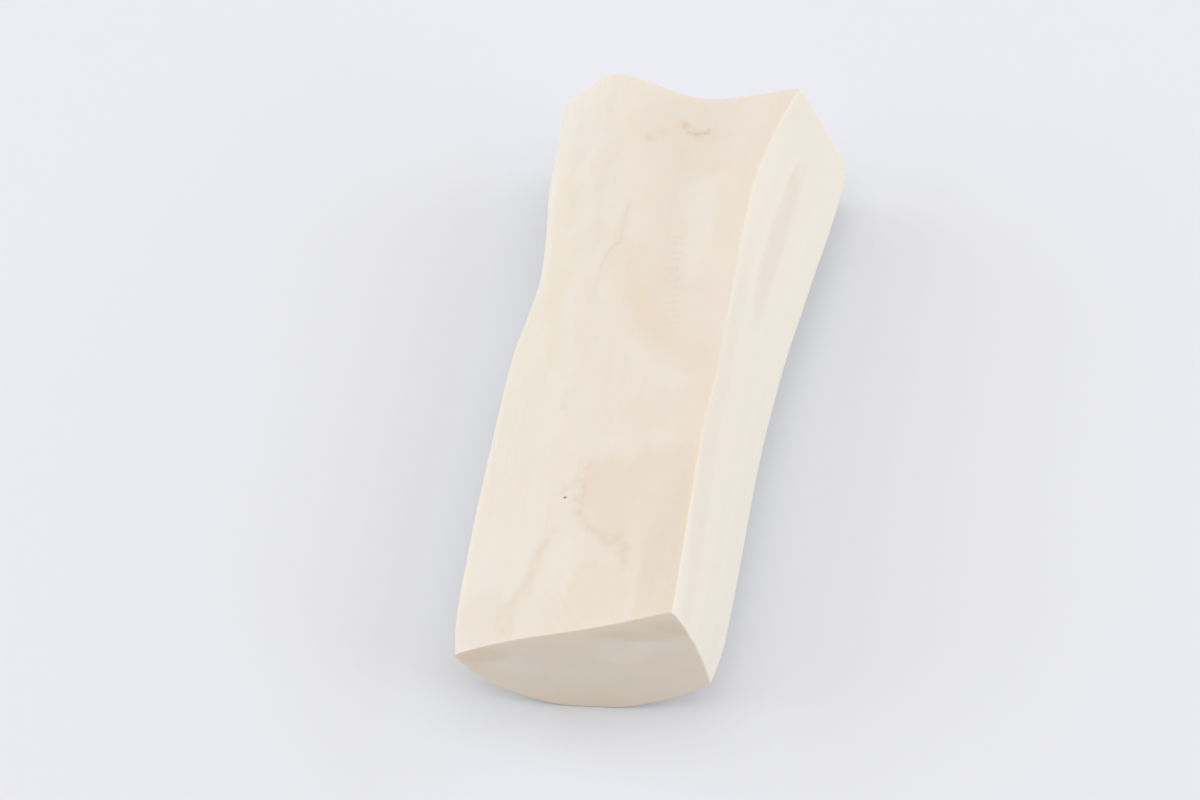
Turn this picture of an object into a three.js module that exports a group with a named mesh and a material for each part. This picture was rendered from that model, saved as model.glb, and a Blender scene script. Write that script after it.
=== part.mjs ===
// A piece of mammoth ivory: a length of tusk sawn off at both ends, cut away along the top and the right
// side, with the rounded outer side of the tusk below. Lengths are in millimetres. Y runs along the piece,
// from the near end to the far end, X across it and Z up from the flat that it lies on.

import * as THREE from 'three';

// The sawn ends are upright planes, y = place + skew * x.
const NEAR_CUT = { place: -55.2, skew: 0.10 };
const FAR_CUT = { place: 56.4, skew: 0.03 };

// Lines that run the length of the piece, each through a few points [y, x, z].
// The left edge is pinched in a little past the middle.
const LEFT_EDGE = [
  [-58, -23.2, 12.4],
  [-50, -24.3, 12.8],
  [-30, -24.7, 13.4],
  [-8, -24.6, 13.9],
  [2, -24.3, 14.0],
  [10, -23.3, 14.2],
  [18, -22.6, 14.4],
  [27, -23.1, 14.9],
  [38, -24.2, 15.7],
  [58, -24.5, 17.2],
];
// The shoulder is a soft peak at the far end, which sinks into the top by the middle.
const SHOULDER = [
  [-56, -15.0, 16.4],
  [-20, -12.5, 17.3],
  [4, -10.0, 18.2],
  [18, -9.2, 19.4],
  [30, -10.4, 21.4],
  [44, -13.0, 24.2],
  [57, -14.8, 26.1],
];
// The bed of the hollow between the shoulder and the ridge.
const HOLLOW = [
  [-56, -2.0, 20.8],
  [-20, -1.5, 20.0],
  [10, -1.0, 19.4],
  [34, -1.0, 20.0],
  [57, -0.6, 21.7],
];
// The ridge is where the top meets the right face.
const RIDGE = [
  [-55, 9.6, 25.7],
  [-38, 9.4, 24.8],
  [-20, 9.2, 24.0],
  [0, 10.0, 23.5],
  [20, 10.1, 23.7],
  [34, 10.5, 24.5],
  [45, 12.3, 25.3],
  [57, 15.9, 26.1],
];
// The lower edge is where the right face meets the underside.
const LOWER_EDGE = [
  [-55, 15.5, 7.2],
  [-47, 16.9, 7.3],
  [-35, 17.4, 7.3],
  [-12, 17.9, 7.4],
  [8, 19.3, 7.4],
  [28, 21.8, 7.4],
  [48, 24.4, 7.3],
  [58, 25.1, 7.1],
];

// The piece lies on a ground flat on its underside, z = 0, between two lines [y, x].
const FLAT_LEFT = [[-56, -5.9], [57, -4.5]];
const FLAT_RIGHT = [[-56, 1.6], [57, 7.5]];

// The right face swells outwards, by this much at its middle height [y, swell].
const FACE_SWELL = [[-56, 0.8], [10, 0.4], [57, 0.4]];

// The rounded underside leaves the flat level and ends steeply at the left and lower edges. Each handle is
// a share of the width and the height between the flat and the edge.
const LEFT_FLANK = { levelOut: 0.24, lift: 0.02, tuckIn: 0.13, drop: 0.58 };
const RIGHT_FLANK = { levelOut: 0.25, lift: 0.08, tuckIn: 0.30, drop: 0.52 };

// How far from each sharp corner of the cross-section its rounding starts.
const LEFT_SOFTNESS = 1.3;
const RIDGE_SOFTNESS = [[-56, 1.3], [-46, 0.7], [57, 0.6]];
const LOWER_SOFTNESS = 0.9;

// The rims of the sawn ends are eased a little, more on the underside than along the top.
const RIM_ABOVE = 0.3;
const RIM_BELOW = 0.4;
const RIM_CHANGE = { low: 4, high: 11 };

// The rims are drawn in towards a spine inside the piece, which stops short of its two sides.
const SPINE = { height: 13, fromLeft: 9, fromRight: 8 };

// How finely each stretch is divided.
const STATION_COUNT = 50;
const TOP_STEPS = 22;
const FACE_STEPS = 8;
const FLANK_STEPS = 9;
const FLAT_STEPS = 3;
const CORNER_STEPS = 4;
const RIM_STEPS = 3;

// A cream, faintly warm dentine.
const IVORY_COLOUR = '#ebe2d5';
const IVORY_ROUGHNESS = 0.42;

// The smooth curve through points [place, value, ...] in one column of values. It never swings past them:
// where neighbours lie on one side, its slope is level.
function valueAt(points, column, place) {
  const last = points.length - 1;
  const slopes = points.slice(1).map((point, i) => (
    (point[column] - points[i][column]) / (point[0] - points[i][0])
  ));
  const slopeAt = (i) => {
    if (i === 0) return slopes[0];
    if (i === last) return slopes[last - 1];
    const product = slopes[i - 1] * slopes[i];
    return product > 0 ? 2 * product / (slopes[i - 1] + slopes[i]) : 0;
  };
  let i = 0;
  while (i < last - 1 && place > points[i + 1][0]) i += 1;
  const width = points[i + 1][0] - points[i][0];
  const t = THREE.MathUtils.clamp((place - points[i][0]) / width, 0, 1);
  const rise = t * t * (3 - 2 * t);
  const bend = t * (1 - t) * width * (slopeAt(i) * (1 - t) - slopeAt(i + 1) * t);
  return THREE.MathUtils.lerp(points[i][column], points[i + 1][column], rise) + bend;
}

// The y of the cross-section plane a share s of the way from the near cut to the far cut, at a given x.
function planeY(s, x) {
  const place = THREE.MathUtils.lerp(NEAR_CUT.place, FAR_CUT.place, s);
  const skew = THREE.MathUtils.lerp(NEAR_CUT.skew, FAR_CUT.skew, s);
  return place + skew * x;
}

// Where a long line [y, x, z] crosses that plane, as a point (x, z).
function crossing(line, s) {
  const nearby = valueAt(line, 1, planeY(s, 0));
  const y = planeY(s, nearby);
  return new THREE.Vector2(valueAt(line, 1, y), valueAt(line, 2, y));
}

// Evenly spread points of a curve between two shares of its length.
function sample(curve, from, to, steps) {
  return Array.from({ length: steps + 1 }, (_, i) => curve(THREE.MathUtils.lerp(from, to, i / steps)));
}

// The rounding of a corner, between the ends of its two neighbours and without those ends.
function roundCorner(before, corner, after) {
  const arc = new THREE.QuadraticBezierCurve(before, corner, after);
  return arc.getPoints(CORNER_STEPS).slice(1, -1);
}

// One side of the rounded underside, from the edge of the flat out to an edge of the piece.
function flank(flatEdge, edge, handles) {
  const width = edge.x - flatEdge.x;
  const height = edge.y - flatEdge.y;
  return new THREE.CubicBezierCurve(
    flatEdge,
    new THREE.Vector2(flatEdge.x + handles.levelOut * width, flatEdge.y + handles.lift * height),
    new THREE.Vector2(edge.x - handles.tuckIn * width, edge.y - handles.drop * height),
    edge,
  );
}

// The right face, from the ridge down to the lower edge.
function rightFace(ridge, lower, swell) {
  const outwards = new THREE.Vector2(ridge.y - lower.y, lower.x - ridge.x).normalize();
  const middle = ridge.clone().lerp(lower, 0.5).addScaledVector(outwards, 2 * swell);
  return new THREE.QuadraticBezierCurve(ridge, middle, lower);
}

// The closed cross-section at a share s of the length, as points (x, z) that run from the left edge over
// the top to the ridge, down the right face and back along the underside.
function crossSection(s) {
  const left = crossing(LEFT_EDGE, s);
  const shoulder = crossing(SHOULDER, s);
  const hollow = crossing(HOLLOW, s);
  const ridge = crossing(RIDGE, s);
  const lower = crossing(LOWER_EDGE, s);
  const y = planeY(s, 0);
  const flatLeft = new THREE.Vector2(valueAt(FLAT_LEFT, 1, y), 0);
  const flatRight = new THREE.Vector2(valueAt(FLAT_RIGHT, 1, y), 0);

  const across = [left, shoulder, hollow, ridge].map((point) => [point.x, point.y]);
  const top = (t) => {
    const x = THREE.MathUtils.lerp(left.x, ridge.x, t);
    return new THREE.Vector2(x, valueAt(across, 1, x));
  };
  const face = rightFace(ridge, lower, valueAt(FACE_SWELL, 1, y));
  const rightFlank = flank(flatRight, lower, RIGHT_FLANK);
  const leftFlank = flank(flatLeft, left, LEFT_FLANK);

  const ridgeSoftness = valueAt(RIDGE_SOFTNESS, 1, y);
  const topLength = left.distanceTo(ridge);
  const faceLength = ridge.distanceTo(lower);
  const topPoints = sample(top, LEFT_SOFTNESS / topLength, 1 - ridgeSoftness / topLength, TOP_STEPS);
  const facePoints = sample(
    (t) => face.getPoint(t), ridgeSoftness / faceLength, 1 - LOWER_SOFTNESS / faceLength, FACE_STEPS,
  );
  const rightPoints = sample(
    (t) => rightFlank.getPointAt(t), 1 - LOWER_SOFTNESS / rightFlank.getLength(), 0, FLANK_STEPS,
  );
  const flatPoints = sample((t) => flatRight.clone().lerp(flatLeft, t), 0, 1, FLAT_STEPS).slice(1, -1);
  const leftPoints = sample(
    (t) => leftFlank.getPointAt(t), 0, 1 - LEFT_SOFTNESS / leftFlank.getLength(), FLANK_STEPS,
  );
  return [
    ...topPoints,
    ...roundCorner(topPoints.at(-1), ridge, facePoints[0]),
    ...facePoints,
    ...roundCorner(facePoints.at(-1), lower, rightPoints[0]),
    ...rightPoints,
    ...flatPoints,
    ...leftPoints,
    ...roundCorner(leftPoints.at(-1), left, topPoints[0]),
  ];
}

// One loop of the rounded rim of an end: turn is 0 where the rounding meets the long sides and 1 at the
// flat of the cut. inwards is the direction along Y from the cut into the piece.
function rimLoop(s, turn, inwards) {
  const section = crossSection(s);
  const left = Math.min(...section.map((point) => point.x));
  const right = Math.max(...section.map((point) => point.x));
  const angle = turn * Math.PI / 2;
  return section.map((point) => {
    const above = THREE.MathUtils.smoothstep(point.y, RIM_CHANGE.low, RIM_CHANGE.high);
    const radius = THREE.MathUtils.lerp(RIM_BELOW, RIM_ABOVE, above);
    const spineX = THREE.MathUtils.clamp(point.x, left + SPINE.fromLeft, right - SPINE.fromRight);
    const spine = new THREE.Vector2(spineX, SPINE.height);
    const step = spine.sub(point).setLength(radius * (1 - Math.cos(angle)));
    const moved = point.clone().add(step);
    const y = planeY(s, moved.x) + inwards * radius * (1 - Math.sin(angle));
    return new THREE.Vector3(moved.x, y, moved.y);
  });
}

// All loops, from the flat of the near cut to the flat of the far cut.
function allLoops() {
  const turns = Array.from({ length: RIM_STEPS }, (_, i) => 1 - i / RIM_STEPS);
  const loops = turns.map((turn) => rimLoop(0, turn, 1));
  const nearMargin = RIM_BELOW / (FAR_CUT.place - NEAR_CUT.place);
  for (let i = 0; i <= STATION_COUNT; i += 1) {
    const s = THREE.MathUtils.lerp(nearMargin, 1 - nearMargin, i / STATION_COUNT);
    loops.push(crossSection(s).map((point) => new THREE.Vector3(point.x, planeY(s, point.x), point.y)));
  }
  return loops.concat(turns.reverse().map((turn) => rimLoop(1, turn, -1)));
}

// A closed skin over the loops, with a flat cap on each end.
function skin(loops) {
  const count = loops[0].length;
  const index = [];
  for (let row = 0; row < loops.length - 1; row += 1) {
    for (let i = 0; i < count; i += 1) {
      const a = row * count + i;
      const b = row * count + (i + 1) % count;
      index.push(a, b, a + count, b, b + count, a + count);
    }
  }
  const flatten = (loop) => loop.map((point) => new THREE.Vector2(point.x, point.z));
  const lastRow = (loops.length - 1) * count;
  THREE.ShapeUtils.triangulateShape(flatten(loops[0]), []).forEach(([a, b, c]) => index.push(a, b, c));
  THREE.ShapeUtils.triangulateShape(flatten(loops.at(-1)), []).forEach(([a, b, c]) => {
    index.push(lastRow + a, lastRow + c, lastRow + b);
  });
  const geometry = new THREE.BufferGeometry().setFromPoints(loops.flat());
  geometry.setIndex(index);
  return geometry;
}

// Moves the shape so that the origin is under the middle of its box.
function centreOnFloor(geometry) {
  geometry.computeBoundingBox();
  const middle = geometry.boundingBox.getCenter(new THREE.Vector3());
  geometry.translate(-middle.x, -middle.y, -geometry.boundingBox.min.z);
  geometry.computeVertexNormals();
  return geometry;
}

function ivoryPiece() {
  const material = new THREE.MeshStandardMaterial({
    color: IVORY_COLOUR, roughness: IVORY_ROUGHNESS, metalness: 0,
  });
  const mesh = new THREE.Mesh(centreOnFloor(skin(allLoops())), material);
  mesh.name = 'ivory_piece';
  return mesh;
}

const group = new THREE.Group();
group.add(ivoryPiece());

export default group;
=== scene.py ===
# A piece of mammoth ivory on a pale table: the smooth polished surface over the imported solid, its dentine
# material with growth layers and stains, soft studio light, and a camera that looks down on it.

import math

import bmesh
import bpy
from mathutils import Matrix, Vector, noise


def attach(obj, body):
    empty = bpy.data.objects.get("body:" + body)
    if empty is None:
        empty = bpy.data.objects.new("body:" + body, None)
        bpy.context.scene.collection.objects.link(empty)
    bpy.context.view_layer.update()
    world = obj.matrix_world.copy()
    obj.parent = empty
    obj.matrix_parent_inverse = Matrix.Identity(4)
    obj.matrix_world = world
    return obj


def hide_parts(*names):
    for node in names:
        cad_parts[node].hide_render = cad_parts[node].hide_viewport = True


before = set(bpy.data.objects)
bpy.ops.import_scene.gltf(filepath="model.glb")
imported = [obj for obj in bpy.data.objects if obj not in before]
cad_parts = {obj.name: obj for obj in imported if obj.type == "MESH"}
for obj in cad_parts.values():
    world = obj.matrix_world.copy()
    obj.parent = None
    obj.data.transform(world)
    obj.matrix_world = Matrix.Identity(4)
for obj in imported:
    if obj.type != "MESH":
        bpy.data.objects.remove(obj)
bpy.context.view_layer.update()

MM = 0.001

# The camera: a long lens that looks down on the piece from its near end, turned a little to the right. It
# sees from the first to the second distance of its reach, in metres.
CAMERA_LENS = 100.0
CAMERA_SENSOR = 36.0
CAMERA_ELEVATION = math.radians(50.0)
CAMERA_TURN = math.radians(8.7)
CAMERA_DISTANCE = 550 * MM
CAMERA_AIM = Vector((-10.58, 5.72, 0.0)) * MM
CAMERA_REACH = (0.01, 50.0)

# The fine surface. Points closer than the first length are one. Two triangles join into a four-sided face
# where they bend and skew by less than the two angles.
WELD = 0.002 * MM
JOINED_BEND = math.radians(40)
JOINED_SKEW = math.radians(60)
SUBDIVISIONS = 2

# The ends are the faces that look along the piece by more than this share. Each end is laid out in rings,
# and each ring is this share of the size of the one round it.
END_FACING = 0.985
END_RINGS = 5
END_RING_SHARE = 0.8

# The slow waves that grinding by hand leaves in the surface, in millimetres. They fade out close above
# the flat that the piece lies on.
WAVE_DEPTH = 0.07
WAVE_LENGTH = 10.0
WAVE_FADE = 1.5

# A pore in the top, by the large amber patch, and the pit of a knot near the far end, in millimetres. At
# both, what lies above the first of these heights is the top, and what lies below it is the underside.
TOP_STARTS = 11.0
PORE_PLACE = (-10.7, -29.2)
PORE_RADIUS = 0.24
PORE_DEPTH = 0.35
KNOT_LINE = [(-2.7, 49.9), (-1.6, 49.0), (-0.4, 48.5), (1.0, 48.9)]
KNOT_RADIUS = 1.5
KNOT_DEPTH = 0.16

# Where the top is divided more finely for them: the middle, the radius and the cuts in each edge.
FINE_PATCHES = [
    ((-0.6, 49.2), 4.0, 1),
    (PORE_PLACE, 1.2, 5),
]

# The lamps: the place of each, its width and height in metres, and its power in watts. They are daylight
# lamps, a little cooler than white, in a warm room that fills the shadows.
LAMPS = {
    "overhead": ((0.0, 0.0, 1.8), 2.4, 2.4, 15.1),
    "left_high": ((-1.6, 0.0, 0.9), 1.8, 1.2, 9.1),
    "left_low": ((-1.6, 0.0, 0.45), 1.8, 0.6, 2.9),
    "right_high": ((1.6, 0.0, 0.9), 1.8, 1.2, 7.9),
    "right_low": ((1.6, 0.0, 0.45), 1.8, 0.6, 3.5),
    "front_left": ((-1.3, -1.3, 0.6), 1.4, 0.9, 1.7),
    "back_left": ((-1.3, 1.3, 0.6), 1.4, 0.9, 2.3),
    "back_right": ((1.3, 1.3, 0.6), 1.4, 0.9, 5.1),
}
LAMP_COLOUR = (0.90, 0.985, 1.10)
ROOM_COLOUR = "#ffe9d2"
ROOM_STRENGTH = 0.53
TABLE_SIZE = 4.0
TABLE_WHITE = "#e2e7ee"

# Colours of the polished dentine.
CREAM = "#e7e4da"
ROSY_CREAM = "#e5ded4"
LAYER_AND_SHADE_CREAM = "#e5e0d4"
FIBRE_TAN = "#e2d9c8"
AMBER = "#e3d9ca"
HONEY = "#e4d9c2"
OCHRE = "#e2dcc9"
GREY_TAN = "#dfd8cc"
PALE = "#e9e7df"
SMUDGE_BROWN = "#d3bfa3"
PORE_BROWN = "#a98f74"
RIDGE_HIGHLIGHT_CREAM = "#eae4d6"
END_TAN = "#ded5c5"
END_BROWN = "#d2c2ab"

# Sizes of the patterns in the dentine, in millimetres. The fibres are a little coarser than real ones, so
# that they show.
ROSY_CLOUD = 12.5
LAYER_SPACING = 4.5
FIBRE_SIZE = (0.7, 20.0, 0.7)
STAIN_PATCH = (5.0, 11.0, 5.0)
SMUDGE_SPECK = 2.0
LEANING_SPACING = 1.7
RING_SPACING = 1.6
SCUFF = 0.8
SCUFF_DEPTH = 0.03

# How strong the tints of the growth layers, the fibres, the two ends, the painted highlight on the ridge
# and the pore are.
# The pore's tint spreads a little past its rim.
LAYER_STRENGTH = 0.45
FIBRE_STRENGTH = 0.35
END_STRENGTH = 0.60
RIDGE_STRENGTH = 0.12
PORE_STRENGTH = 0.80
PORE_STAIN_RADIUS = 1.6 * PORE_RADIUS

# How the edges of stains wander: the size of the noise that moves them, and how far it moves them, in
# millimetres. It is longer along the fibres than across them.
FEATHERED = ((2.9, 10.0, 2.9), (3.0, 8.0, 1.5))
FRAYED = ((1.1, 2.0, 1.1), (1.6, 2.4, 0.6))

# The distance after which a wave pattern of scale 1 repeats.
WAVE_REPEAT = math.tau / 20.0

# The axis of the tusk: a point on it, high above the piece, and how it leans, in radians.
TUSK_AXIS = (-2.0, 0.0, 38.0)
TUSK_AXIS_LEAN = (-0.02, 0.0, -0.03)

# The top is rosier on the right of the first of these lines, and the ridge and the right face are on the
# right of the second: the start and the end of each, and how softly it fades there.
ROSY_EDGE = ((-9.0, -20.0), (-9.0, 20.0), 16.0)
RIDGE_EDGE = ((5.0, -60.0), (5.0, 60.0), 2.0)

# A cloud fades over this share of its radius, and a half size of this length lets it reach everywhere.
CLOUD_FADE = 0.6
EVERYWHERE = 1e6

# Where the grain lines show: leaning ones in a cloud by the near end, and rings about a middle in a
# streak. Both are given as the clouds and streaks below are, but the cloud in three directions.
LEANING_AREA = ((-6.0, -49.0, 0.0), (9.0, 10.0, 60.0), 0, 0.30)
LEANING_TURN = -30.0
RINGS_MIDDLE = (-0.7, 18.6)
RINGS_AREA = ([(-0.9, 26.0), (1.4, 3.0)], 2.4, 0.50)

# Some sockets of the node that mixes colours share a name, so these go by number.
MIX_AMOUNT = 0
MIX_COLOUR = 6
MIX_TINT = 7
MIXED_COLOUR = 2

# Clouds on the top: the middle (x, y), the half sizes across and along, both in millimetres, the turn in
# degrees, how strong the cloud is and its colour.
TOP_CLOUDS = [
    ((1.0, 10.0), (8.0, 16.0), 0, 0.40, AMBER),
    ((7.4, -9.0), (4.4, 18.0), 0, 0.70, AMBER),
    ((7.0, -38.0), (5.0, 22.0), 0, 0.90, END_TAN),
    ((0.4, -12.0), (6.5, 5.0), 8, 0.40, AMBER),
    ((-0.4, 27.3), (2.2, 4.2), 0, 0.45, HONEY),
    ((7.8, 30.0), (3.4, 14.0), -6, 0.45, OCHRE),
    ((-20.0, 36.0), (2.8, 12.0), 4, 0.90, OCHRE),
    ((-20.6, 27.0), (2.0, 5.5), 0, 0.45, HONEY),
    ((-18.8, 18.0), (3.0, 13.0), 0, 0.65, OCHRE),
    ((-17.0, 3.0), (2.4, 9.0), 10, 0.35, OCHRE),
    ((-7.2, 48.6), (5.0, 10.0), -10, 0.50, GREY_TAN),
    ((-12.4, 6.0), (2.6, 9.0), 2, 0.35, GREY_TAN),
    ((-16.8, 36.0), (6.0, 23.0), 4, 0.65, GREY_TAN),
    ((10.0, 43.0), (3.5, 8.5), -10, 0.30, GREY_TAN),
    ((-7.0, 36.0), (6.0, 15.0), -12, 0.35, ROSY_CREAM),
    ((2.6, 44.0), (4.4, 4.4), 0, 0.20, OCHRE),
    # This pale cloud is painted light: it lightens the darker band where the surface of the hollow turns,
    # down the middle of the far half.
    ((1.2, 30.0), (4.4, 20.0), 4, 0.60, PALE),
    ((-7.0, -18.4), (6.0, 2.6), 4, 0.22, PALE),
    ((-8.2, -42.0), (2.2, 9.0), 0, 0.40, PALE),
    ((-2.6, -48.0), (6.5, 9.0), 0, 0.50, OCHRE),
    ((-20.0, -53.0), (8.0, 9.0), 0, 0.50, GREY_TAN),
]

# Stains and pale streaks on the top that run in a line: the points that each passes through, half its
# width, how strong it is and its colour.
TOP_STREAKS = [
    ([(-8.2, 21.5), (-6.4, 14.0), (-3.2, 8.0), (1.0, 3.0), (6.5, -1.5)], 4.6, 0.65, AMBER),
    ([(-5.6, 12.4), (-3.2, 8.4), (1.0, 4.2)], 2.8, 0.55, HONEY),
    ([(-4.2, 2.4), (-2.6, -2.0), (1.0, -5.0), (4.2, -6.2)], 2.4, 0.34, PALE),
    # This pale streak is a painted highlight along the crest of the left shoulder.
    ([(-14.4, 43.0), (-13.8, 33.0), (-12.0, 26.0)], 1.6, 0.25, PALE),
    ([(-15.6, 43.0), (-19.0, 37.0)], 1.8, 0.25, PALE),
    ([(-12.6, 43.0), (-17.6, 29.0)], 1.0, 0.25, OCHRE),
    ([(-9.4, 30.5), (-10.2, 23.0), (-13.2, 13.0)], 2.0, 0.30, GREY_TAN),
    ([(-9.4, 30.5), (-9.9, 26.0), (-9.9, 23.3), (-11.8, 20.6), (-12.3, 17.6)], 0.60, 0.18, SMUDGE_BROWN),
    ([(8.5, -22.0), (8.9, -36.0)], 1.3, 0.45, HONEY),
    ([(1.4, -37.0), (2.2, -44.0)], 1.5, 0.45, OCHRE),
    ([(1.6, 47.3), (5.4, 47.9)], 0.9, 0.45, OCHRE),
    ([(-3.0, 44.0), (-1.2, 41.9), (3.0, 40.5), (6.9, 41.8)], 2.2, 0.26, HONEY),
    ([(-3.4, 49.6), (-0.8, 47.6), (2.2, 47.8)], 2.4, 0.35, HONEY),
]

# Ragged brown smudges on the top, where stain has crept along the fibres: the points that each passes
# through, half its width and how strong it is.
TOP_SMUDGES = [
    ([(-11.8, -36.0), (-12.8, -40.0), (-14.2, -47.0)], 1.7, 0.28),
    ([(-14.6, -47.5), (-16.2, -49.8), (-15.6, -55.5)], 2.2, 0.26),
    ([(-9.2, -22.2), (-8.8, -24.0)], 1.0, 0.32),
    ([(-8.6, -26.2), (-8.3, -32.4)], 1.4, 0.42),
    ([(-9.6, -25.2), (-10.9, -28.0)], 1.2, 0.24),
    ([(-7.2, -34.2), (-2.2, -38.8)], 1.5, 0.28),
    ([(-1.2, -37.8), (0.2, -40.0), (0.3, -44.0)], 1.3, 0.40),
    ([(-13.8, -8.0), (-13.9, -11.0)], 1.2, 0.20),
    ([(-6.2, 47.0), (-8.4, 44.4)], 1.2, 0.24),
    (KNOT_LINE, 1.3, 0.85),
]

# The large amber patch on the top and the strip that runs on from it to the near end lie on the right of
# these straight lines: the start, the end, and how softly the stain fades there.
PATCH_EDGES = [
    ((-8.5, -22.6), (8.0, -19.8), 2.2),
    ((-7.9, -40.0), (-8.4, -20.0), 0.6),
    ((0.8, -42.6), (-7.4, -33.6), 1.8),
    ((12.0, -42.5), (0.0, -41.0), 2.5),
]
STRIP_EDGES = [
    ((3.4, -58.0), (2.8, -36.0), 1.2),
    ((-5.0, -37.5), (12.0, -36.5), 4.0),
]

# Bands on the right face: the middle (y, z), the half sizes along and up, strength and colour.
RIGHT_BANDS = [
    # The first band covers the whole right face with painted shade, a little darker than the top, against
    # the light that falls on it from the right.
    ((15.0, 18.0), (110.0, 22.0), 0.60, LAYER_AND_SHADE_CREAM),
    ((-28.0, 15.0), (50.0, 9.0), 0.15, GREY_TAN),
    ((-18.0, 22.0), (60.0, 2.6), 0.55, GREY_TAN),
    ((28.0, 17.4), (25.0, 2.3), 0.75, GREY_TAN),
    ((45.8, 19.8), (3.4, 0.5), 0.35, PALE),
    ((42.6, 18.8), (4.0, 0.7), 0.55, END_TAN),
]

# Clouds on the near end: the middle (x, z), the half sizes across and up, strength and colour.
END_CLOUDS = [
    ((2.4, 14.4), (6.0, 4.0), 0.32, PALE),
    ((7.4, 17.0), (5.5, 2.4), 0.36, PALE),
    ((-14.0, 10.0), (6.5, 3.6), 0.25, PALE),
    ((-4.0, 8.0), (7.0, 4.0), 0.20, PALE),
    ((5.6, 11.8), (4.0, 2.6), 0.35, AMBER),
    ((4.0, 19.0), (7.5, 1.7), 0.32, END_BROWN),
    ((9.6, 21.4), (5.5, 2.4), 0.30, END_BROWN),
    # This wide amber band along the bottom is painted light: the warm glow that the table throws up onto
    # the bottom of the end.
    ((-2.0, 0.5), (26.0, 5.0), 0.60, AMBER),
    ((-20.0, 12.4), (6.0, 3.0), 0.30, END_BROWN),
]


def look_along(obj, direction):
    """Turns a camera or a light to look along a direction."""
    obj.rotation_mode = "QUATERNION"
    obj.rotation_quaternion = direction.to_track_quat("-Z", "Y")


def make_camera():
    """The camera, at its distance from the point that it aims at."""
    data = bpy.data.cameras.new("camera")
    data.lens = CAMERA_LENS
    data.sensor_width = CAMERA_SENSOR
    data.sensor_fit = "HORIZONTAL"
    data.clip_start, data.clip_end = CAMERA_REACH
    camera = bpy.data.objects.new("camera", data)
    forward = Vector((
        -math.sin(CAMERA_TURN) * math.cos(CAMERA_ELEVATION),
        math.cos(CAMERA_TURN) * math.cos(CAMERA_ELEVATION),
        -math.sin(CAMERA_ELEVATION),
    ))
    camera.location = CAMERA_AIM - forward * CAMERA_DISTANCE
    look_along(camera, forward)
    bpy.context.collection.objects.link(camera)
    bpy.context.scene.camera = camera


def linear(hex_colour):
    """An sRGB hex colour as linear red, green, blue and alpha."""
    channels = [int(hex_colour[i:i + 2], 16) / 255 for i in (1, 3, 5)]
    return [c / 12.92 if c <= 0.04045 else ((c + 0.055) / 1.055) ** 2.4 for c in channels] + [1.0]


def add(tree, kind, settings):
    """Adds a node. settings holds its own properties, and a value or a source for each of its sockets."""
    made = tree.nodes.new(kind)
    for key, value in settings.items():
        if isinstance(key, str) and hasattr(made, key):
            setattr(made, key, value)
        elif isinstance(value, bpy.types.NodeSocket):
            tree.links.new(value, made.inputs[key])
        else:
            made.inputs[key].default_value = value
    return made


def new_material(name):
    """An empty material and its tree of nodes."""
    material = bpy.data.materials.new(name)
    material.use_nodes = True
    material.node_tree.nodes.clear()
    return material, material.node_tree


def overlap(tree, *masks):
    """Where all the masks hold at once. A mask is a socket or a number from 0 to 1."""
    result = masks[0]
    for mask in masks[1:]:
        result = add(tree, "ShaderNodeMath", {"operation": "MULTIPLY", 0: result, 1: mask}).outputs[0]
    return result


def stained(tree, colour, tint, *masks):
    """The colour, turned to a tint where all the masks hold."""
    return add(tree, "ShaderNodeMix", {
        "data_type": "RGBA", "clamp_factor": True,
        MIX_AMOUNT: overlap(tree, *masks), MIX_COLOUR: colour, MIX_TINT: linear(tint),
    }).outputs[MIXED_COLOUR]


def cloud(tree, place, middle, half_size, turn, strength):
    """A mask for an ellipsoid: strength in its middle and 0 at its rim. turn is about Z, in degrees."""
    mapped = add(tree, "ShaderNodeMapping", {
        "vector_type": "TEXTURE", "Vector": place, "Location": middle,
        "Rotation": (0.0, 0.0, math.radians(turn)), "Scale": half_size,
    }).outputs[0]
    inside = add(tree, "ShaderNodeTexGradient", {
        "gradient_type": "SPHERICAL", "Vector": mapped,
    }).outputs["Fac"]
    return add(tree, "ShaderNodeMapRange", {
        "interpolation_type": "SMOOTHSTEP", "Value": inside, "From Max": CLOUD_FADE, "To Max": strength,
    }).outputs[0]


def right_of(tree, place, start, end, softness):
    """A mask for what lies on the right of a line from start to end, seen from above. Both are (x, y)."""
    along = (Vector(end) - Vector(start)).normalized()
    offset = add(tree, "ShaderNodeVectorMath", {
        "operation": "SUBTRACT", 0: place, 1: (*start, 0.0),
    }).outputs[0]
    depth = add(tree, "ShaderNodeVectorMath", {
        "operation": "DOT_PRODUCT", 0: offset, 1: (along.y, -along.x, 0.0),
    }).outputs["Value"]
    return add(tree, "ShaderNodeMapRange", {
        "interpolation_type": "SMOOTHSTEP", "Value": depth,
        "From Min": -softness / 2, "From Max": softness / 2,
    }).outputs[0]


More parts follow.
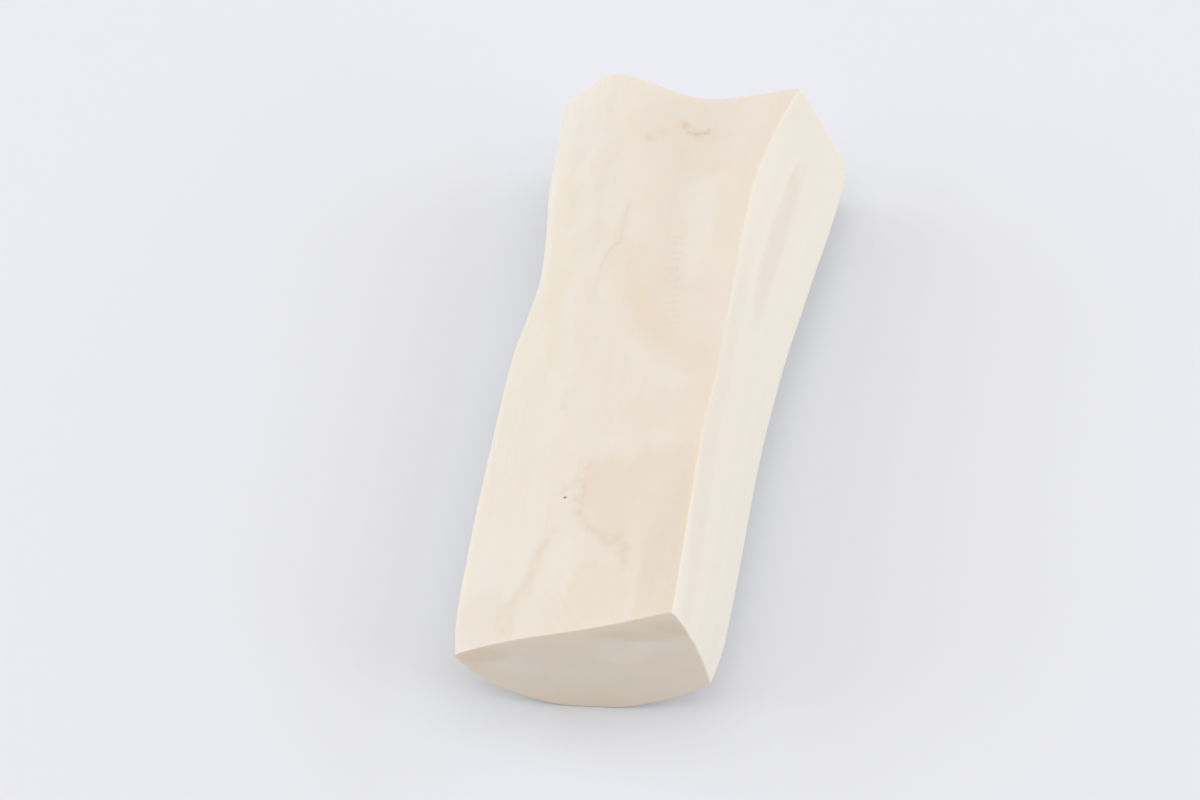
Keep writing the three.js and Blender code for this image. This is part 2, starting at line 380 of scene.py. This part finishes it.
def streak(tree, flat_place, points, half_width, strength):
    """A mask for a line through several points, seen from above: strength on the line and 0 beside it."""
    nearest = None
    for start, end in zip(points, points[1:]):
        along = Vector((*end, 0.0)) - Vector((*start, 0.0))
        offset = add(tree, "ShaderNodeVectorMath", {
            "operation": "SUBTRACT", 0: flat_place, 1: (*start, 0.0),
        }).outputs[0]
        reach = add(tree, "ShaderNodeVectorMath", {
            "operation": "DOT_PRODUCT", 0: offset, 1: along / along.length_squared,
        }).outputs["Value"]
        share = add(tree, "ShaderNodeMapRange", {"Value": reach}).outputs[0]
        foot = add(tree, "ShaderNodeVectorMath", {
            "operation": "SCALE", 0: along, "Scale": share,
        }).outputs[0]
        distance = add(tree, "ShaderNodeVectorMath", {
            "operation": "DISTANCE", 0: offset, 1: foot,
        }).outputs["Value"]
        if nearest is None:
            nearest = distance
        else:
            nearest = add(tree, "ShaderNodeMath", {
                "operation": "MINIMUM", 0: nearest, 1: distance,
            }).outputs[0]
    return add(tree, "ShaderNodeMapRange", {
        "interpolation_type": "SMOOTHSTEP", "Value": nearest,
        "From Max": half_width, "To Min": strength, "To Max": 0.0,
    }).outputs[0]


def ragged(tree, place, size, reach):
    """The place moved about by noise that is stretched along the fibres, which gives feathery edges."""
    fibres = add(tree, "ShaderNodeMapping", {
        "vector_type": "TEXTURE", "Vector": place, "Scale": size,
    }).outputs[0]
    feather = add(tree, "ShaderNodeTexNoise", {
        "Vector": fibres, "Scale": 1.0, "Detail": 4.0, "Roughness": 0.6,
    }).outputs["Color"]
    centred = add(tree, "ShaderNodeVectorMath", {
        "operation": "SUBTRACT", 0: feather, 1: (0.5, 0.5, 0.5),
    }).outputs[0]
    return add(tree, "ShaderNodeVectorMath", {
        "operation": "MULTIPLY_ADD", 0: centred, 1: reach, 2: place,
    }).outputs[0]


def masks_of_parts(tree, place):
    """Masks for the parts of the surface. Each rises from 0 to 1 as the normal goes from low to high."""
    normal = add(tree, "ShaderNodeTexCoord", {}).outputs["Normal"]
    facing = add(tree, "ShaderNodeSeparateXYZ", {"Vector": normal}).outputs
    ranges = {
        "upward": ("Z", 0.34, 0.50),
        "facing_right": ("X", 0.28, 0.42),
        "rounding": ("X", 0.74, 0.56),
        "near_end": ("Y", -0.70, -0.95),
        "far_end": ("Y", 0.70, 0.95),
    }
    on = {name: add(tree, "ShaderNodeMapRange", {
        "Value": facing[axis], "From Min": low, "From Max": high,
    }).outputs[0] for name, (axis, low, high) in ranges.items()}
    on["right"] = overlap(tree, on["facing_right"], right_of(tree, place, *RIDGE_EDGE))
    elsewhere = add(tree, "ShaderNodeMath", {"operation": "SUBTRACT", 0: 1.0, 1: on["right"]}).outputs[0]
    on["top"] = overlap(tree, on["upward"], elsewhere)
    on["ridge"] = overlap(tree, on["right"], on["rounding"])
    return on


def growth_layers(tree, at):
    """A mask for the growth layers, which wrap round the axis of the tusk and are unevenly spaced."""
    from_axis = add(tree, "ShaderNodeMapping", {
        "vector_type": "TEXTURE", "Vector": at["feathered"],
        "Location": TUSK_AXIS, "Rotation": TUSK_AXIS_LEAN,
    }).outputs[0]
    return add(tree, "ShaderNodeTexWave", {
        "wave_type": "RINGS", "rings_direction": "Y", "wave_profile": "SIN", "Vector": from_axis,
        "Scale": WAVE_REPEAT / LAYER_SPACING,
        "Distortion": 9.0, "Detail": 4.0, "Detail Scale": 0.12, "Detail Roughness": 0.6,
    }).outputs["Fac"]


def dentine_colour(tree, at, on, layers):
    """Cream, rosier in the middle of the top, with its growth layers and fibres."""
    mottle = add(tree, "ShaderNodeTexNoise", {
        "Vector": at["feathered"], "Scale": 1 / ROSY_CLOUD, "Detail": 3.0, "Roughness": 0.55,
    }).outputs["Fac"]
    mottle_rise = add(tree, "ShaderNodeMapRange", {
        "Value": mottle, "From Min": 0.35, "From Max": 0.65, "To Min": -0.3, "To Max": 0.3,
    }).outputs[0]
    to_the_right = right_of(tree, at["feathered"], *ROSY_EDGE)
    rosy = add(tree, "ShaderNodeMath", {"operation": "ADD", 0: to_the_right, 1: mottle_rise}).outputs[0]
    colour = stained(tree, linear(CREAM), ROSY_CREAM, rosy, on["top"])
    colour = stained(tree, colour, LAYER_AND_SHADE_CREAM, layers, LAYER_STRENGTH)

    fibres = add(tree, "ShaderNodeMapping", {
        "vector_type": "TEXTURE", "Vector": at["place"], "Scale": FIBRE_SIZE,
    }).outputs[0]
    grain = add(tree, "ShaderNodeTexNoise", {
        "Vector": fibres, "Scale": 1.0, "Detail": 3.0, "Roughness": 0.65,
    }).outputs["Fac"]
    grain_amount = add(tree, "ShaderNodeMapRange", {
        "Value": grain, "From Min": 0.48, "From Max": 0.78, "To Max": FIBRE_STRENGTH,
    }).outputs[0]
    return stained(tree, colour, FIBRE_TAN, grain_amount)


def stains(tree, colour, at, on):
    """Amber, honey and grey-tan stains where minerals have soaked in, and pale places that they left. Some
    are painted light and shade: a highlight along the shoulder, a pale cloud where the hollow turns, shade
    over the right face and a warm glow low on the near end.
    """
    # Every stain is patchy: it takes more in some places than in others.
    stretched = add(tree, "ShaderNodeMapping", {
        "vector_type": "TEXTURE", "Vector": at["place"], "Scale": STAIN_PATCH,
    }).outputs[0]
    taking = add(tree, "ShaderNodeTexNoise", {
        "Vector": stretched, "Scale": 1.0, "Detail": 5.0, "Roughness": 0.65,
    }).outputs["Fac"]
    patchy = add(tree, "ShaderNodeMapRange", {
        "Value": taking, "From Min": 0.35, "From Max": 0.62, "To Min": 0.45, "To Max": 1.0,
    }).outputs[0]

    patch = [right_of(tree, at["feathered"], *edge) for edge in PATCH_EDGES]
    strip = [right_of(tree, at["frayed"], *edge) for edge in STRIP_EDGES]
    for edges in (patch, strip):
        colour = stained(tree, colour, AMBER, *edges, patchy, on["top"])
    for end in ("near_end", "far_end"):
        colour = stained(tree, colour, END_TAN, on[end], END_STRENGTH)

    for middle, half_size, turn, strength, tint in TOP_CLOUDS:
        amount = cloud(tree, at["feathered"], (*middle, 0.0), (*half_size, EVERYWHERE), turn, strength)
        colour = stained(tree, colour, tint, amount, patchy, on["top"])
    for points, half_width, strength, tint in TOP_STREAKS:
        amount = streak(tree, at["from_above"], points, half_width, strength)
        colour = stained(tree, colour, tint, amount, on["top"])
    for middle, half_size, strength, tint in RIGHT_BANDS:
        amount = cloud(tree, at["feathered"], (0.0, *middle), (EVERYWHERE, *half_size), 0, strength)
        colour = stained(tree, colour, tint, amount, on["right"])
    for (x, z), (across, up), strength, tint in END_CLOUDS:
        amount = cloud(tree, at["frayed"], (x, 0.0, z), (across, EVERYWHERE, up), 0, strength)
        colour = stained(tree, colour, tint, amount, on["near_end"])
    return colour


def smudges(tree, colour, at, on):
    """Brown smudges, broken up into soft specks."""
    specks = add(tree, "ShaderNodeTexNoise", {
        "Vector": at["place"], "Scale": 1 / SMUDGE_SPECK, "Detail": 3.0, "Roughness": 0.55,
    }).outputs["Fac"]
    broken = add(tree, "ShaderNodeMapRange", {
        "Value": specks, "From Min": 0.32, "From Max": 0.66,
    }).outputs[0]
    for points, half_width, strength in TOP_SMUDGES:
        amount = streak(tree, at["from_above"], points, half_width, strength)
        colour = stained(tree, colour, SMUDGE_BROWN, amount, broken, on["top"])
    return colour


def grain_lines(tree, colour, at, on):
    """Fine lines where the top cuts across the grain: leaning ones by the near end, and faint rings
    farther back."""
    leaning = add(tree, "ShaderNodeMapping", {
        "Vector": at["frayed"], "Rotation": (0.0, 0.0, math.radians(LEANING_TURN)),
    }).outputs[0]
    lines = add(tree, "ShaderNodeTexWave", {
        "bands_direction": "X", "Vector": leaning, "Scale": WAVE_REPEAT / LEANING_SPACING,
        "Distortion": 3.0, "Detail": 3.0, "Detail Scale": 0.4,
    }).outputs["Fac"]
    from_middle = add(tree, "ShaderNodeMapping", {
        "vector_type": "TEXTURE", "Vector": at["frayed"], "Location": (*RINGS_MIDDLE, 0.0),
    }).outputs[0]
    rings = add(tree, "ShaderNodeTexWave", {
        "wave_type": "RINGS", "rings_direction": "Z", "Vector": from_middle,
        "Scale": WAVE_REPEAT / RING_SPACING, "Distortion": 2.0, "Detail": 2.0,
    }).outputs["Fac"]
    leaning_area = cloud(tree, at["feathered"], *LEANING_AREA)
    rings_area = streak(tree, at["from_above"], *RINGS_AREA)
    for wave, area, tint in ((lines, leaning_area, HONEY), (rings, rings_area, GREY_TAN)):
        crest = add(tree, "ShaderNodeMapRange", {
            "Value": wave, "From Min": 0.55, "From Max": 0.95,
        }).outputs[0]
        colour = stained(tree, colour, tint, crest, area, on["top"])
    return colour


def polished_mammoth_dentine():
    """Mammoth tusk dentine, ground and polished by hand: a warm cream that light soaks into a little,
    with a soft sheen, growth layers that the cuts lay open as faint flowing bands, fine fibres along its
    length, and amber stains where minerals have soaked in."""
    material, tree = new_material("polished_mammoth_dentine")
    position = add(tree, "ShaderNodeTexCoord", {}).outputs["Object"]
    place = add(tree, "ShaderNodeMapping", {"Vector": position, "Scale": (1 / MM,) * 3}).outputs[0]
    frayed = ragged(tree, place, *FRAYED)
    at = {
        "place": place,
        "feathered": ragged(tree, place, *FEATHERED),
        "frayed": frayed,
        "from_above": add(tree, "ShaderNodeVectorMath", {
            "operation": "MULTIPLY", 0: frayed, 1: (1.0, 1.0, 0.0),
        }).outputs[0],
    }
    on = masks_of_parts(tree, place)

    layers = growth_layers(tree, at)
    colour = dentine_colour(tree, at, on, layers)
    colour = stains(tree, colour, at, on)
    colour = smudges(tree, colour, at, on)
    colour = grain_lines(tree, colour, at, on)

    # The ridge is a little paler than the faces beside it: a painted highlight along its rounded crest.
    colour = stained(tree, colour, RIDGE_HIGHLIGHT_CREAM, on["ridge"], RIDGE_STRENGTH)

    # The pore is darker inside.
    pore_size = (PORE_STAIN_RADIUS, PORE_STAIN_RADIUS, EVERYWHERE)
    pore = cloud(tree, place, (*PORE_PLACE, 0.0), pore_size, 0, PORE_STRENGTH)
    colour = stained(tree, colour, PORE_BROWN, pore, on["top"])

    # Polishing leaves a sheen that is a little duller where the dentine is more open, and faint scuffs.
    dullness = add(tree, "ShaderNodeMapRange", {
        "Value": layers, "To Min": 0.36, "To Max": 0.46,
    }).outputs[0]
    scuffs = add(tree, "ShaderNodeTexNoise", {
        "Vector": place, "Scale": 1 / SCUFF, "Detail": 4.0,
    }).outputs["Fac"]
    scuffed = add(tree, "ShaderNodeBump", {
        "Height": scuffs, "Strength": 0.25, "Distance": SCUFF_DEPTH * MM,
    }).outputs[0]
    shader = add(tree, "ShaderNodeBsdfPrincipled", {
        "Base Color": colour,
        "Roughness": dullness,
        "Normal": scuffed,
        "IOR": 1.54,
        "Subsurface Weight": 0.35,
        "Subsurface Radius": (1.0, 0.62, 0.36),
        "Subsurface Scale": 2.5 * MM,
    })
    add(tree, "ShaderNodeOutputMaterial", {"Surface": shader.outputs[0]})
    return material


def matte_white_table():
    """Matte white laminate, very slightly cool, which shows soft shadows and no reflections."""
    material, tree = new_material("matte_white_table")
    shader = add(tree, "ShaderNodeBsdfPrincipled", {
        "Base Color": linear(TABLE_WHITE), "Roughness": 0.9, "IOR": 1.45,
    })
    add(tree, "ShaderNodeOutputMaterial", {"Surface": shader.outputs[0]})
    return material


def welded_quads(node):
    """The solid's triangles, welded and joined into four-sided faces, with rings laid in on its ends."""
    shape = bmesh.new()
    shape.from_mesh(node.data)
    bmesh.ops.remove_doubles(shape, verts=shape.verts, dist=WELD)
    for side in (-1, 1):
        end = [face for face in shape.faces if face.normal.y * side > END_FACING]
        cap = bmesh.ops.dissolve_faces(shape, faces=end)["region"][0]
        centre = cap.calc_center_median_weighted()
        for _ in range(END_RINGS):
            cap = bmesh.ops.extrude_discrete_faces(shape, faces=[cap])["faces"][0]
            bmesh.ops.scale(shape, verts=cap.verts, vec=(END_RING_SHARE,) * 3,
                            space=Matrix.Translation(-centre))
    triangles = [face for face in shape.faces if len(face.verts) == 3]
    bmesh.ops.join_triangles(shape, faces=triangles, angle_face_threshold=JOINED_BEND,
                             angle_shape_threshold=JOINED_SKEW)
    return shape


def subdivided(shape):
    """The smooth surface over a coarse shape, as a mesh of its own."""
    coarse = bpy.data.meshes.new("coarse_ivory")
    shape.to_mesh(coarse)
    shape.free()
    model = bpy.data.objects.new("coarse_ivory", coarse)
    bpy.context.collection.objects.link(model)
    smoothing = model.modifiers.new("smoothing", "SUBSURF")
    smoothing.levels = SUBDIVISIONS
    smooth = bpy.data.meshes.new_from_object(model.evaluated_get(bpy.context.evaluated_depsgraph_get()))
    bpy.data.objects.remove(model)
    bpy.data.meshes.remove(coarse)
    return smooth


def divide_near(shape, middle, radius, cuts):
    """Divides the top more finely within a radius of (x, y), in millimetres."""
    inside = {vert for vert in shape.verts if (
        vert.co.z > TOP_STARTS * MM and (vert.co.xy / MM - Vector(middle)).length < radius
    )}
    edges = [edge for edge in shape.edges if inside.issuperset(edge.verts)]
    bmesh.ops.subdivide_edges(shape, edges=edges, cuts=cuts, use_grid_fill=True)


def distance_to_line(point, line):
    """How far a point lies from a line through several points, seen from above."""
    nearest = math.inf
    for start, end in zip(line, line[1:]):
        along = Vector(end) - Vector(start)
        share = (point - Vector(start)).dot(along) / along.length_squared
        foot = Vector(start) + along * min(max(share, 0.0), 1.0)
        nearest = min(nearest, (point - foot).length)
    return nearest


def hollow_depth(distance, radius, depth):
    """The depth of a rounded hollow at a distance from its deepest place."""
    inside = max(0.0, 1.0 - distance / radius)
    return depth * inside * inside * (3.0 - 2.0 * inside)


def worn_depth(point):
    """How deep the surface lies below the solid's at a point, all in millimetres."""
    waves = 0.5 + 0.5 * noise.noise(point / WAVE_LENGTH)
    depth = WAVE_DEPTH * waves * min(1.0, point.z / WAVE_FADE)
    if point.z > TOP_STARTS:
        depth += hollow_depth((point.xy - Vector(PORE_PLACE)).length, PORE_RADIUS, PORE_DEPTH)
        depth += hollow_depth(distance_to_line(point.xy, KNOT_LINE), KNOT_RADIUS, KNOT_DEPTH)
    return depth


def wear(mesh):
    """Sinks the pore, the knot and the waves of the grinding into the surface."""
    shape = bmesh.new()
    shape.from_mesh(mesh)
    for middle, radius, cuts in FINE_PATCHES:
        divide_near(shape, middle, radius, cuts)
    shape.normal_update()
    moves = [vert.normal * worn_depth(vert.co / MM) * MM for vert in shape.verts]
    for vert, move in zip(shape.verts, moves):
        vert.co -= move
    shape.to_mesh(mesh)
    shape.free()


def polished_surface():
    """The piece as it is seen: the solid's own form, smooth, finely divided and worn."""
    mesh = subdivided(welded_quads(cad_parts["ivory_piece"]))
    mesh.name = "polished_ivory"
    wear(mesh)
    mesh.shade_smooth()
    mesh.materials.clear()
    mesh.materials.append(polished_mammoth_dentine())
    piece = bpy.data.objects.new("polished_ivory", mesh)
    bpy.context.collection.objects.link(piece)
    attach(piece, "root")
    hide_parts("ivory_piece")


def make_table():
    """The level table top that the piece lies on."""
    bpy.ops.mesh.primitive_plane_add(size=TABLE_SIZE, location=(0.0, 0.0, 0.0))
    table = bpy.context.object
    table.name = "table_top"
    table.data.materials.append(matte_white_table())


def soft_box(name, place, width, height, power):
    """A large soft lamp that faces the piece."""
    data = bpy.data.lights.new(name, "AREA")
    data.shape = "RECTANGLE"
    data.size = width
    data.size_y = height
    data.energy = power
    data.color = LAMP_COLOUR
    lamp = bpy.data.objects.new(name, data)
    lamp.location = place
    look_along(lamp, -Vector(place))
    bpy.context.collection.objects.link(lamp)


def make_light():
    """A big soft lamp overhead, softer fill from both sides and from three corners, in a pale studio."""
    for name, lamp in LAMPS.items():
        soft_box(name, *lamp)
    world = bpy.data.worlds.new("studio")
    world.use_nodes = True
    background = world.node_tree.nodes["Background"]
    background.inputs["Color"].default_value = linear(ROOM_COLOUR)
    background.inputs["Strength"].default_value = ROOM_STRENGTH
    bpy.context.scene.world = world
    bpy.context.scene.view_settings.view_transform = "Standard"


make_camera()
make_light()
make_table()
polished_surface()
bpy.context.view_layer.update()
